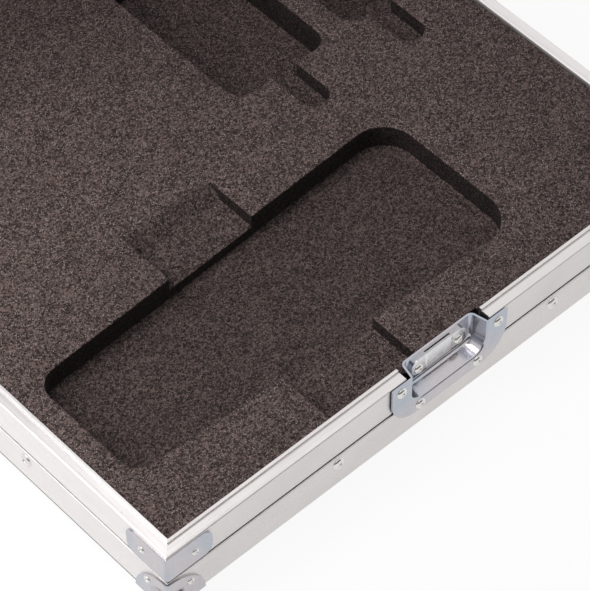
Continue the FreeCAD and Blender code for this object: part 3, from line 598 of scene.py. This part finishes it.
metalWear = {
    "scratchFineness": 90.0,
    "smearFineness": 14.0,
    "smearShare": 0.10,
    "smearTone": 0.8,
    "scratchRoughness": -0.08,
    "smearRoughness": 0.05,
    "scratchDepth": 0.5,
    "bumpDepth": 0.08 * mm,
}

grainStretch = {"X": (0.02, 1, 1), "Y": (1, 0.02, 1), "Z": (1, 1, 0.02), "none": (1, 1, 1)}


def placeHandling(tree, wear):
    fineness = {"Scratch Fineness": wear["scratchFineness"], "Smear Fineness": wear["smearFineness"]}
    return placeGroup(tree, handling, fineness)


def addTint(tree, look):
    # passivated zinc shifts from blue to a faint pink in soft clouds
    place = addNode(tree, "ShaderNodeTexCoord").outputs["Object"]
    cloud = addNoise(tree, place, look["tintFineness"], look["tintLook"])
    return addColourMix(tree, addRange(tree, cloud, look["tintSpan"]), look["colour"], look["tint"])


def addPaintedLowLine(tree, look, colour):
    # a painted dark line along the lower edge of a side face, a painted reflection of the shaded floor
    # under the case
    coords = addNode(tree, "ShaderNodeTexCoord")
    lineTop = panelLow.z + look["lowLineHeight"]
    height = splitVector(tree, coords.outputs["Object"])["Z"]
    low = addRange(tree, height, (lineTop, lineTop - look["lowLineBlend"]))
    upright = addRange(tree, splitVector(tree, coords.outputs["Normal"])["Z"], look["downSpan"])
    dark = [c * look["paintedLowLineTone"] for c in look["colour"]]
    return addColourMix(tree, addMath(tree, "MULTIPLY", upright, low), colour, dark)


def makeMetal(name, lookName, grainWay="none"):
    look = metalLooks[lookName]
    material, tree, shader = newMaterial(name)
    grainInputs = {"Stretch": grainStretch[grainWay], "Fineness": look["fineness"]}
    grain = placeGroup(tree, drawnGrain, grainInputs)
    marks = placeHandling(tree, metalWear)
    scratch = marks.outputs["Scratch"]
    smear = marks.outputs["Smear"]

    colour = addTint(tree, look) if "tint" in look else look["colour"]
    tone = addColourMix(tree, 1.0, colour, grain.outputs["Tone"], "MULTIPLY")
    smearColour = [c * metalWear["smearTone"] for c in look["colour"]]
    smearPart = addMath(tree, "MULTIPLY", smear, metalWear["smearShare"])
    shown = addColourMix(tree, smearPart, tone, smearColour)
    # painted reflection of the shaded floor under the case, along the lower edge
    if "paintedLowLineTone" in look:
        shown = addPaintedLowLine(tree, look, shown)
    feed(tree, shader.inputs["Base Color"], shown)
    shader.inputs["Metallic"].default_value = look["metallic"]

    grainRough = addMath(tree, "ADD", grain.outputs["Roughness"], look["roughness"])
    scratchRough = addShare(tree, scratch, metalWear["scratchRoughness"], grainRough)
    smearRough = addMath(tree, "MULTIPLY", smear, metalWear["smearRoughness"])
    feed(tree, shader.inputs["Roughness"], addMath(tree, "ADD", scratchRough, smearRough, clamp=True))

    groove = addMath(tree, "MULTIPLY", scratch, metalWear["scratchDepth"])
    height = addMath(tree, "SUBTRACT", grain.outputs["Height"], groove)
    addBump(tree, shader, height, look["bump"], metalWear["bumpDepth"])
    arrange(tree)
    return material


# laminate, rubber and plastic

mouldedLooks = {
    "blackLaminate": {
        "colour": (0.022, 0.022, 0.024),
        "roughness": 0.42,
        "dotSize": 1.5 * mm,
        "bumpDepth": 0.10 * mm,
    },
    # the side panels: the laminate made lighter, painted light in the seams between the side rims and
    # angles
    "sideLaminatePaintedLight": {
        "colour": (0.16, 0.155, 0.15),
        "roughness": 0.42,
        "dotSize": 1.5 * mm,
        "bumpDepth": 0.10 * mm,
    },
    "footRubber": {
        "colour": (0.018, 0.018, 0.019),
        "roughness": 0.75,
        "dotSize": 0.7 * mm,
        "bumpDepth": 0.06 * mm,
    },
    "gripPlastic": {
        "colour": (0.02, 0.02, 0.021),
        "roughness": 0.5,
        "dotSize": 0.5 * mm,
        "bumpDepth": 0.04 * mm,
    },
}

mouldedWear = {
    "scratchFineness": 90.0,
    "smearFineness": 14.0,
    "scratchShare": 0.25,
    "scratchTone": 2.5,
    "smearRoughness": -0.10,
    "bumpStrength": 0.5,
}


def makeMoulded(name):
    look = mouldedLooks[name]
    material, tree, shader = newMaterial(name)
    dots = placeGroup(tree, stipple, {"Dot Size": look["dotSize"]})
    marks = placeHandling(tree, mouldedWear)
    tone = addColourMix(tree, 1.0, look["colour"], dots.outputs["Tone"], "MULTIPLY")
    pale = [min(1, c * mouldedWear["scratchTone"]) for c in look["colour"]]
    scratch = addMath(tree, "MULTIPLY", marks.outputs["Scratch"], mouldedWear["scratchShare"])
    feed(tree, shader.inputs["Base Color"], addColourMix(tree, scratch, tone, pale))
    rough = addShare(tree, marks.outputs["Smear"], mouldedWear["smearRoughness"], look["roughness"])
    feed(tree, shader.inputs["Roughness"], rough)
    addBump(tree, shader, dots.outputs["Dots"], mouldedWear["bumpStrength"], look["bumpDepth"])
    arrange(tree)
    return material


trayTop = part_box("base_foam")[1].z
# the tray's foam gets painted shade on its walls and deep floors; the lid pad gets none
trayFoamMaterial = makeFoamMaterial("trayFoam", foamLook["wallShadeLevel"], trayTop, foamLook["deepShadeLevel"])
lidFoamMaterial = makeFoamMaterial("lidFoam", wallShadeLevel=1.0, topHeight=0.0, deepShadeLevel=1.0)
extrusionAlong = {
    # the front and back pieces get the darker colour of painted shade
    "X": makeMetal("anodisedAlongX", "crossExtrusionPaintedShade", "X"),
    "Y": makeMetal("anodisedAlongY", "extrusion", "Y"),
    "Z": makeMetal("anodisedAlongZ", "extrusion", "Z"),
}
# the side angles carry painted shade and a painted dark line along their lower edge
lowEdgeMaterial = makeMetal("anodisedLowEdge", "lowEdge", "Y")
zincMaterial = makeMetal("zincPlate", "zinc")
# the keeper's lighter zinc is painted light
keeperMaterial = makeMetal("keeperZinc", "keeperPaintedLightZinc")
rivetMaterial = makeMetal("rivetHead", "rivet")
laminateMaterial = makeMoulded("blackLaminate")
# the side panels' lighter laminate is painted light
sideLaminateMaterial = makeMoulded("sideLaminatePaintedLight")
rubberMaterial = makeMoulded("footRubber")
gripMaterial = makeMoulded("gripPlastic")
print("materials made")


def dress(nodeName, material):
    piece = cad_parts[nodeName]
    if not piece.material_slots:
        piece.data.materials.append(material)
    for slot in piece.material_slots:
        slot.material = material


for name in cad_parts:
    if name in ("base_left_panel", "base_right_panel"):
        dress(name, sideLaminateMaterial)
    elif name in ("base_left_angle", "base_right_angle"):
        dress(name, lowEdgeMaterial)
    elif name.endswith("_panel"):
        dress(name, laminateMaterial)
    elif name.endswith("_rim") or name.endswith("_angle"):
        side = name.split("_")[1]
        if side in ("front", "back"):
            dress(name, extrusionAlong["X"])
        else:
            dress(name, extrusionAlong["Y" if name.startswith("base") else "Z"])
    elif name == "lid_corner_angles":
        dress(name, extrusionAlong["Y"])
    elif name == "latch_keeper":
        dress(name, keeperMaterial)
    else:
        dress(name, zincMaterial)
print("CAD nodes dressed")


# rivets

rivetValues = {
    "segments": 28,
    "smoothAngle": 50,
    "planeMargin": 0.02 * mm,  # points this near to a head's end are on it
    # radius and height as shares of the head's own radius and height
    "domeShares": [
        (1.0, 0.0), (1.0, 0.08), (0.955, 0.26), (0.87, 0.50), (0.76, 0.72), (0.64, 0.87),
        (0.52, 0.96), (0.40, 1.0), (0.345, 0.95), (0.315, 0.80), (0.30, 0.42), (0.27, 0.36),
        (0.22, 0.46), (0.13, 0.56), (0.0, 0.60),
    ],
}


def addRivet(bm, place, direction, radius, height):
    profile = [(radius * r, height * h) for r, h in rivetValues["domeShares"]]
    lathe(bm, profile, place, direction, rivetValues["segments"])


def rivetSeat(points):
    # the wide end's middle and the way the head points, from a CAD head's points
    low, high = boxOf(points)
    size = high - low
    axis = min(range(3), key=lambda i: size[i])
    across, along = [i for i in range(3) if i != axis]
    middle = (low + high) / 2

    def reach(level):
        near = [p for p in points if abs(p[axis] - level) < rivetValues["planeMargin"]]
        return max(math.hypot(p[across] - middle[across], p[along] - middle[along]) for p in near)

    wideAtLow = reach(low[axis]) > reach(high[axis])
    place = middle.copy()
    place[axis] = low[axis] if wideAtLow else high[axis]
    direction = Vector((0, 0, 0))
    direction[axis] = 1 if wideAtLow else -1
    return place, direction, size[across] / 2, size[axis]


def rivetsFrom(nodeName, body):
    bm = bmesh.new()
    for points in islandsOf(nodeName):
        place, direction, radius, height = rivetSeat(points)
        addRivet(bm, place, direction, radius, height)
    smoothAngle = rivetValues["smoothAngle"]
    piece = linkMesh(nodeName + "_heads", bm, rivetMaterial, body, smoothAngle)
    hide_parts(nodeName)


for nodeName, body in (
    ("base_angle_rivets", "base"),
    ("latch_keeper_rivets", "base"),
    ("hinge_base_rivets", "base"),
    ("lid_angle_rivets", "lid"),
    ("latch_dish_rivets", "lid"),
    ("hinge_lid_rivets", "lid"),
    ("handle_rivets", "lid"),
):
    rivetsFrom(nodeName, body)
print("rivets made")


# rubber feet and their screws

footValues = {
    "segments": 48,
    "rubberSmoothAngle": 40,
    "screwSmoothAngle": 30,
    # radius share of the foot's widest, height share from the case down
    "rubberShares": [
        (0.20, 0.0), (1.0, 0.0), (1.0, 0.10), (0.985, 0.16), (0.925, 0.20), (0.920, 0.30),
        (0.965, 0.34), (0.960, 0.46), (0.900, 0.50), (0.895, 0.60), (0.935, 0.64), (0.925, 0.82),
        (0.895, 0.91), (0.84, 0.97), (0.77, 1.0), (0.52, 1.0), (0.46, 0.985), (0.425, 0.94),
        (0.418, 0.56), (0.20, 0.555), (0.20, 0.0),
    ],
    "screwShares": [(0.52, 0.0), (0.52, 0.70), (1.0, 0.71), (0.995, 0.78), (0.93, 0.88), (0.80, 0.95)],
    "faceRingShares": (0.70, 0.60, 0.50, 0.40, 0.30, 0.20, 0.10, 0.0),
    "faceDomeShare": 0.05,  # rise of the head's face from its rim to its middle
    "crossArmShare": 0.60,
    "crossHalfWidthShare": 0.14,
    "crossTaperShare": 0.8,
    "crossDepth": 1.1 * mm,
    "faceReach": 0.3 * mm,  # points this near to the head's outermost level can be in the cross
}


def footSeats(nodeName):
    # for each solid the middle of its top, its radius, its height and its lowest level
    for points in islandsOf(nodeName):
        low, high = boxOf(points)
        place = Vector(((low.x + high.x) / 2, (low.y + high.y) / 2, high.z))
        yield place, (high.x - low.x) / 2, high.z - low.z, low.z


def makeFeet():
    rubber = bmesh.new()
    for place, radius, height, lowest in footSeats("base_feet"):
        profile = [(radius * r, height * h) for r, h in footValues["rubberShares"]]
        lathe(rubber, profile, place, (0, 0, -1), footValues["segments"])
    bmesh.ops.remove_doubles(rubber, verts=rubber.verts, dist=weldDistance)
    bmesh.ops.recalc_face_normals(rubber, faces=rubber.faces)
    smoothAngle = footValues["rubberSmoothAngle"]
    piece = linkMesh("ribbed_feet", rubber, rubberMaterial, "base", smoothAngle)
    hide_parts("base_feet")


def makeFootScrews():
    steel = bmesh.new()
    for place, radius, height, lowest in footSeats("base_feet_screws"):
        profile = [(radius * r, height * h) for r, h in footValues["screwShares"]]
        for share in footValues["faceRingShares"]:
            profile.append((radius * share, height * (1 - footValues["faceDomeShare"] * share)))
        lathe(steel, profile, place, (0, 0, -1), footValues["segments"])
        for vert in steel.verts:
            x = abs(vert.co.x - place.x) / radius
            y = abs(vert.co.y - place.y) / radius
            isNarrow = min(x, y) < footValues["crossHalfWidthShare"]
            isInArm = isNarrow and max(x, y) < footValues["crossArmShare"]
            if isInArm and vert.co.z < lowest + footValues["faceReach"]:
                vert.co.z += footValues["crossDepth"] * (1 - max(x, y) * footValues["crossTaperShare"])
    bmesh.ops.recalc_face_normals(steel, faces=steel.faces)
    smoothAngle = footValues["screwSmoothAngle"]
    piece = linkMesh("foot_screws", steel, zincMaterial, "base", smoothAngle)
    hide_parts("base_feet_screws")


makeFeet()
makeFootScrews()
print("feet made")


# small rivets in the ball corners and the rim braces

smallRivetValues = {
    "radius": 2.7 * mm,
    "height": 1.0 * mm,
    "cornerReach": 22.1 * mm,  # from the ball's outermost planes, along the sheet
    "sheetDrop": 4.2 * mm,  # from the ball's outermost plane back to the sheet
    "braceReach": 22.0 * mm,
}


def smallRivets(prefix, flatAxis, flatSign):
    # one rivet in each leg of the ball corners and of the rim braces
    bm = bmesh.new()
    values = smallRivetValues
    sides = [axis for axis in range(3) if axis != flatAxis]
    for nodeName, reach, drop, axes in (
        (prefix + "_ball_corners", values["cornerReach"], values["sheetDrop"], (0, 1, 2)),
        (prefix + "_rim_braces", values["braceReach"], 0.0, sides),
    ):
        boxes = [boxOf(points) for points in islandsOf(nodeName)]
        centre = sum((low + high for low, high in boxes), Vector()) / (2 * len(boxes))
        for low, high in boxes:
            middle = (low + high) / 2
            signs = Vector([1 if middle[i] > centre[i] else -1 for i in range(3)])
            signs[flatAxis] = flatSign
            outer = Vector([high[i] if signs[i] > 0 else low[i] for i in range(3)])
            for axis in axes:
                place = outer - signs * reach
                place[axis] = outer[axis] - signs[axis] * drop
                if drop == 0.0:
                    place[flatAxis] = middle[flatAxis]
                way = Vector((0, 0, 0))
                way[axis] = signs[axis]
                addRivet(bm, place, way, values["radius"], values["height"])
    smoothAngle = rivetValues["smoothAngle"]
    linkMesh(prefix + "_small_rivets", bm, rivetMaterial, prefix, smoothAngle)


smallRivets("base", flatAxis=2, flatSign=-1)
smallRivets("lid", flatAxis=1, flatSign=1)
print("small rivets made")


# foam tray and lid pad, as shapes

foamValues = {
    "edgeRound": 0.8 * mm,
    "edgeSteps": 3,
    "edgeProfile": 0.5,  # a circle's arc
    "flatAngle": 1.0,  # faces that turn less than this are one
    "sharpAngle": 30,
    "smoothAngle": 40,
    "longestEdge": 14.0 * mm,
    "cutSweeps": 6,
    "cutWobble": 0.22 * mm,
    "wobbleLength": 9.0 * mm,
    "wobbleMargin": 2.0 * mm,  # the outside stays straight
}


def softenedFoam(nodeName, pieceName, body, material, seed):
    # the CAD solid with rounded cut edges and a knife's slight wander along every wall
    values = foamValues
    bm = bmesh.new()
    bm.from_mesh(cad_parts[nodeName].data)
    bmesh.ops.remove_doubles(bm, verts=bm.verts, dist=weldDistance)
    flatAngle = math.radians(values["flatAngle"])
    bmesh.ops.dissolve_limit(bm, angle_limit=flatAngle, verts=bm.verts, edges=bm.edges)
    sharpAngle = math.radians(values["sharpAngle"])
    sharp = [e for e in bm.edges if len(e.link_faces) == 2 and e.calc_face_angle(0) > sharpAngle]
    bmesh.ops.bevel(
        bm,
        geom=sharp,
        offset=values["edgeRound"],
        segments=values["edgeSteps"],
        profile=values["edgeProfile"],
        affect="EDGES",
        clamp_overlap=True,
    )
    for sweep in range(values["cutSweeps"]):
        long = [e for e in bm.edges if e.calc_length() > values["longestEdge"]]
        if not long:
            break
        bmesh.ops.subdivide_edges(bm, edges=long, cuts=1, use_grid_fill=False)
    bmesh.ops.triangulate(bm, faces=bm.faces)
    noise.seed_set(seed)  # else the wander would differ from run to run
    low, high = boxOf([v.co for v in bm.verts])
    margin = values["wobbleMargin"]
    for vert in bm.verts:
        if all(low[i] + margin < vert.co[i] < high[i] - margin for i in range(2)):
            push = noise.noise_vector(vert.co / values["wobbleLength"]) * values["cutWobble"]
            vert.co.x += push.x
            vert.co.y += push.y
    piece = linkMesh(pieceName, bm, material, body, values["smoothAngle"])
    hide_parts(nodeName)


softenedFoam("base_foam", "foam_tray", "base", trayFoamMaterial, seed=1)
softenedFoam("lid_foam", "foam_lid_pad", "lid", lidFoamMaterial, seed=2)
print("foam made")


# handle grip with finger rings

gripValues = {
    "segments": 40,
    "smoothAngle": 40,
    "wireShare": 0.6,  # the bail's wire in the sleeve
    "endRound": 1.4 * mm,
    "endSteps": 4,
    "endMargin": 2.0 * mm,
    "ribs": 17,
    "ribDepth": 0.5 * mm,
    # place along one rib's pitch and share of the rib's depth
    "ribShares": [(0.0, 0), (0.14, 0.7), (0.25, 1), (0.36, 0.7), (0.5, 0)],
}


def makeGrip():
    values = gripValues
    low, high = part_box("handle_grip")
    radius = (high.x - low.x) / 2
    length = high.z - low.z
    start = Vector(((low.x + high.x) / 2, (low.y + high.y) / 2, low.z))
    wire = radius * values["wireShare"]
    roundness = values["endRound"]
    flatRadius = radius - roundness
    turns = [math.pi / 2 * step / values["endSteps"] for step in range(values["endSteps"] + 1)]
    profile = [(wire, 0.0)]
    for angle in turns:
        outward = roundness * math.sin(angle)
        profile.append((flatRadius + outward, roundness - roundness * math.cos(angle)))
    first = roundness + values["endMargin"]
    pitch = (length - 2 * first) / values["ribs"]
    for rib in range(values["ribs"]):
        for along, depth in values["ribShares"]:
            profile.append((radius - values["ribDepth"] * depth, first + pitch * rib + pitch * along))
    for angle in turns:
        outward = roundness * math.cos(angle)
        profile.append((flatRadius + outward, length - roundness + roundness * math.sin(angle)))
    profile.append((wire, length))
    bm = bmesh.new()
    lathe(bm, profile, start, (0, 0, 1), values["segments"])
    piece = linkMesh("grip_sleeve", bm, gripMaterial, "handle", values["smoothAngle"])
    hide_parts("handle_grip")


makeGrip()
print("grip made")


# floor

floorValues = {
    "size": 9.0,
    "gap": 0.1 * mm,  # under the case
    "colour": (0.93, 0.93, 0.93),
    "roughness": 0.9,
    "glow": 0.92,
    "glowInShine": 0.8,
}


def makeFloor():
    values = floorValues
    half = values["size"] / 2
    corners = [(-half, -half, 0), (half, -half, 0), (half, half, 0), (-half, half, 0)]
    mesh = bpy.data.meshes.new("floor")
    mesh.from_pydata(corners, [], [(0, 1, 2, 3)])
    floor = bpy.data.objects.new("floor", mesh)
    bpy.context.scene.collection.objects.link(floor)
    floor.location = (0, 0, cadLow.z - values["gap"])
    material, tree, shader = newMaterial("paleFloor")
    feed(tree, shader.inputs["Base Color"], values["colour"])
    shader.inputs["Roughness"].default_value = values["roughness"]
    glow = addNode(tree, "ShaderNodeEmission")
    feed(tree, glow.inputs["Color"], (1, 1, 1))
    path = addNode(tree, "ShaderNodeLightPath")
    seen = addMath(tree, "MAXIMUM", path.outputs["Is Camera Ray"], path.outputs["Is Transmission Ray"])
    seenGlow = addMath(tree, "MULTIPLY", seen, values["glow"])
    shineGlow = addMath(tree, "MULTIPLY", path.outputs["Is Glossy Ray"], values["glowInShine"])
    mix = addNode(tree, "ShaderNodeMixShader")
    feed(tree, mix.inputs[0], addMath(tree, "MAXIMUM", seenGlow, shineGlow))
    feed(tree, mix.inputs[1], shader.outputs[0])
    feed(tree, mix.inputs[2], glow.outputs[0])
    feed(tree, tree.nodes["Material Output"].inputs["Surface"], mix.outputs[0])
    arrange(tree)
    mesh.materials.append(material)


# sky

skyValues = {
    "shine": 1.0,  # strength that the camera and polished metal see
    "diffuse": 0.12,  # strength that lights matt faces
    "dimWay": (-0.35, -0.94, 0.0),  # toward the dim side of the room, in front of the case
    "dimLevel": 0.10,
    "dimSpan": (0.25, 0.60),  # from the bright room into its dim side
    "dimHeights": (0.35, 0.75),  # the dim side ends upward between these
}


def makeSky():
    # reflections see a dim side of the room, low and in front, that gives polished metal its darks
    values = skyValues
    world = bpy.data.worlds.new("studioSky")
    bpy.context.scene.world = world
    world.use_nodes = True
    tree = world.node_tree
    background = tree.nodes["Background"]
    feed(tree, background.inputs["Color"], (1, 1, 1))
    path = addNode(tree, "ShaderNodeLightPath")
    seen = addMath(tree, "MAXIMUM", path.outputs["Is Camera Ray"], path.outputs["Is Glossy Ray"])
    seenAll = addMath(tree, "MAXIMUM", seen, path.outputs["Is Transmission Ray"])
    strength = addRange(tree, seenAll, (0.0, 1.0), (values["diffuse"], values["shine"]))
    around = addNode(tree, "ShaderNodeTexCoord").outputs["Generated"]
    way = addNode(tree, "ShaderNodeVectorMath", operation="DOT_PRODUCT")
    feed(tree, way.inputs[0], around)
    way.inputs[1].default_value = values["dimWay"]
    facing = addRange(tree, way.outputs["Value"], values["dimSpan"])
    low = addRange(tree, splitVector(tree, around)["Z"], values["dimHeights"], (1.0, 0.0))
    dimSide = addMath(tree, "MULTIPLY", facing, low)
    glossy = addMath(tree, "MULTIPLY", dimSide, path.outputs["Is Glossy Ray"])
    dim = addRange(tree, glossy, (0.0, 1.0), (1.0, values["dimLevel"]))
    feed(tree, background.inputs["Strength"], addMath(tree, "MULTIPLY", strength, dim))
    arrange(tree)


# lamps, with places from the middle of the base panel's underside

lampValues = {
    "keyLight": {
        "place": (-0.45, 0.12, 1.30),
        "aim": (-0.05, -0.05, 0.05),
        "size": 0.8,
        "power": 9.2,
        "showsInShine": True,
    },
    "sideLight": {
        "place": (-0.95, 0.32, 0.80),
        "aim": (0.0, 0.0, 0.0),
        "size": 0.7,
        "power": 9.4,
        "showsInShine": False,
    },
}


def makeLamp(name):
    values = lampValues[name]
    lamp = bpy.data.lights.new(name, "AREA")
    lamp.shape = "SQUARE"
    lamp.size = values["size"]
    lamp.energy = values["power"]
    holder = bpy.data.objects.new(name, lamp)
    bpy.context.scene.collection.objects.link(holder)
    holder.location = caseMiddle + Vector(values["place"])
    toward = caseMiddle + Vector(values["aim"]) - holder.location
    holder.rotation_euler = toward.to_track_quat("-Z", "Y").to_euler()
    holder.visible_glossy = values["showsInShine"]


# camera

cameraValues = {
    "azimuth": -42.6,
    "elevation": 51.23,
    "distance": 1.939,
    "focalPixels": 3216,
    "imageWidth": 590,
    "sensorWidth": 36.0,
    "nearest": 0.05,
    "farthest": 50.0,
    "target": (-0.0405, -0.1163, 0.0511),  # from the middle of the base panel's underside
}


def makeCamera():
    values = cameraValues
    azimuth = math.radians(values["azimuth"])
    elevation = math.radians(values["elevation"])
    level = math.cos(elevation)
    back = Vector((math.sin(azimuth) * level, -math.cos(azimuth) * level, math.sin(elevation)))
    camera = bpy.data.cameras.new("camera")
    holder = bpy.data.objects.new("camera", camera)
    bpy.context.scene.collection.objects.link(holder)
    camera.sensor_fit = "HORIZONTAL"
    camera.sensor_width = values["sensorWidth"]
    camera.lens = values["sensorWidth"] * values["focalPixels"] / values["imageWidth"]
    camera.clip_start = values["nearest"]
    camera.clip_end = values["farthest"]
    holder.location = caseMiddle + Vector(values["target"]) + back * values["distance"]
    holder.rotation_euler = (-back).to_track_quat("-Z", "Y").to_euler()
    bpy.context.scene.camera = holder


makeFloor()
makeSky()
for lampName in lampValues:
    makeLamp(lampName)
makeCamera()
bpy.context.scene.view_settings.view_transform = "Standard"
print("floor, light and camera made")
